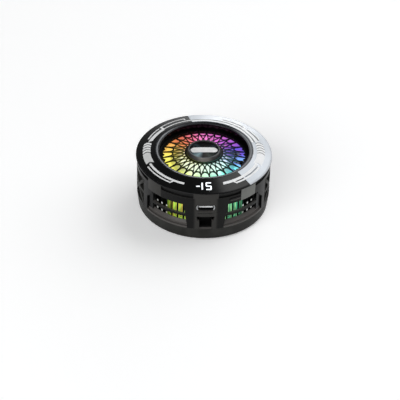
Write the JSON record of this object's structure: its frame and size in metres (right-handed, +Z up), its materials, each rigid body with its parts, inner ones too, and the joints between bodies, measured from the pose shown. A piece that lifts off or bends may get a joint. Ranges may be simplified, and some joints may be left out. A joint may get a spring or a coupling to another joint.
{
  "type": "phone cooling fan",
  "caption": "Round magnetic cooling fan: sloping striped deck with digits, lit lattice grille over the fan, finned heat sink behind side vents, USB-C socket and a cold plate.",
  "frame": {"origin": "centre of the cooled face, on the plane that rests on the device", "axes": "+Z up out of the grille, front with the USB-C socket towards -Y, +X to the right seen from the front"},
  "size_m": [0.067, 0.067, 0.031],
  "materials": {
    "case_black": "semi-gloss moulded black",
    "satin_black": "satin moulded dark grey",
    "film_black": "printed glossy film",
    "film_silver": "printed silver film",
    "bezel_metal": "gunmetal plated",
    "grille_black": "fine satin black",
    "digit_light": "lit white display segments",
    "silicone": "soft matte silicone",
    "thermal_gel": "soft grey-blue pad",
    "aluminium": "machined",
    "steel": "plated steel",
    "magnet_dark": "nickel grey magnet",
    "ceramic_white": "matte alumina",
    "foam": "closed-cell foam",
    "board": "solder-masked circuit board",
    "plastic_black": "moulded black",
    "copper": "enamelled copper wire",
    "lead_red": "insulated lead",
    "lead_black": "insulated lead",
    "bronze": "sintered bronze",
    "milky": "translucent milky plastic",
    "led_white": "light chip package",
    "badge_black": "domed gloss resin",
    "badge_silver": "brushed silver foil",
    "smoked": "dark smoked translucent plastic"
  },
  "bodies": {
    "housing": {"silicone_ring": "silicone", "thermal_pad": "thermal_gel", "base_shell": "satin_black", "cold_plate": "aluminium", "ring_magnets": "magnet_dark", "magnet_yoke": "steel", "peltier_cold_ceramic": "ceramic_white", "peltier_pellets": "magnet_dark", "peltier_hot_ceramic": "ceramic_white", "peltier_leads": "lead_red", "insulation_gasket": "foam", "heat_sink": "aluminium", "heat_sink_screws": "steel", "side_shell": "case_black", "truss_panel_right": "satin_black", "truss_panel_left": "satin_black", "case_screws": "steel", "main_board": "board", "usb_c_shell": "steel", "usb_c_tongue": "plastic_black", "led_board": "board", "led_chips": "led_white", "light_ring": "smoked", "tact_switch": "plastic_black", "deck_cover": "case_black", "deck_film_black": "film_black", "deck_film_silver": "film_silver", "display_module": "plastic_black", "display_digits": "digit_light", "bezel_ring": "bezel_metal", "fan_grille": "grille_black", "hub_cap": "case_black", "hub_badge": "badge_black", "hub_band": "badge_silver", "fan_base": "plastic_black", "fan_screws": "steel", "fan_board": "board", "fan_leads": "lead_black", "stator_core": "steel", "stator_coils": "copper", "bearing_sleeve": "bronze"},
    "rotor": {"shaft": "steel", "shaft_clip": "steel", "impeller": "milky", "rotor_yoke": "steel", "rotor_magnet": "magnet_dark"},
    "button": {"mode_button": "satin_black"}
  },
  "joints": [
    {"name": "fan_spin", "type": "hinge", "parent": "housing", "child": "rotor", "pos_m": [0, 0, 0.015], "axis": [0, 0, 1], "continuous": true},
    {"name": "button_press", "type": "slide", "parent": "housing", "child": "button", "axis": [-0.4305, 0.9026, 0], "range_m": [0, 0.0005], "stiffness_N_per_m": 2000, "springref_m": -0.0002}
  ]
}
